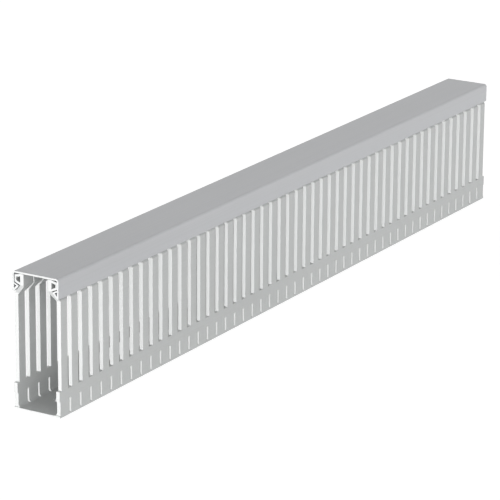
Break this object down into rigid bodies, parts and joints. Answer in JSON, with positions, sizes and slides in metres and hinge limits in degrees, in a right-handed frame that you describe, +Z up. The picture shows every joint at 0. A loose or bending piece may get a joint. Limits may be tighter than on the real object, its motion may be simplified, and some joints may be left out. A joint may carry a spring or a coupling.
{
  "type": "slotted wire duct",
  "caption": "Slotted wiring duct: a straight trough with finger walls, break-off slits and hollow finger heads, closed by a clip-on cover that slides along them.",
  "frame": {"origin": "centre of the underside of the duct's floor, which is the bottom centre of its box", "axes": "+X along the duct, +Y across it, +Z up from the floor to the cover"},
  "size_m": [0.5, 0.03, 0.079],
  "materials": {
    "duct_plastic": "light grey rigid vinyl, satin",
    "cover_plastic": "light grey rigid vinyl, satin"
  },
  "bodies": {
    "duct": {"duct_base": "duct_plastic"},
    "cover": {"cover": "cover_plastic"}
  },
  "joints": [
    {"name": "cover_slide", "type": "slide", "parent": "duct", "child": "cover", "axis": [1, 0, 0], "range_m": [-0.48, 0.48]}
  ]
}
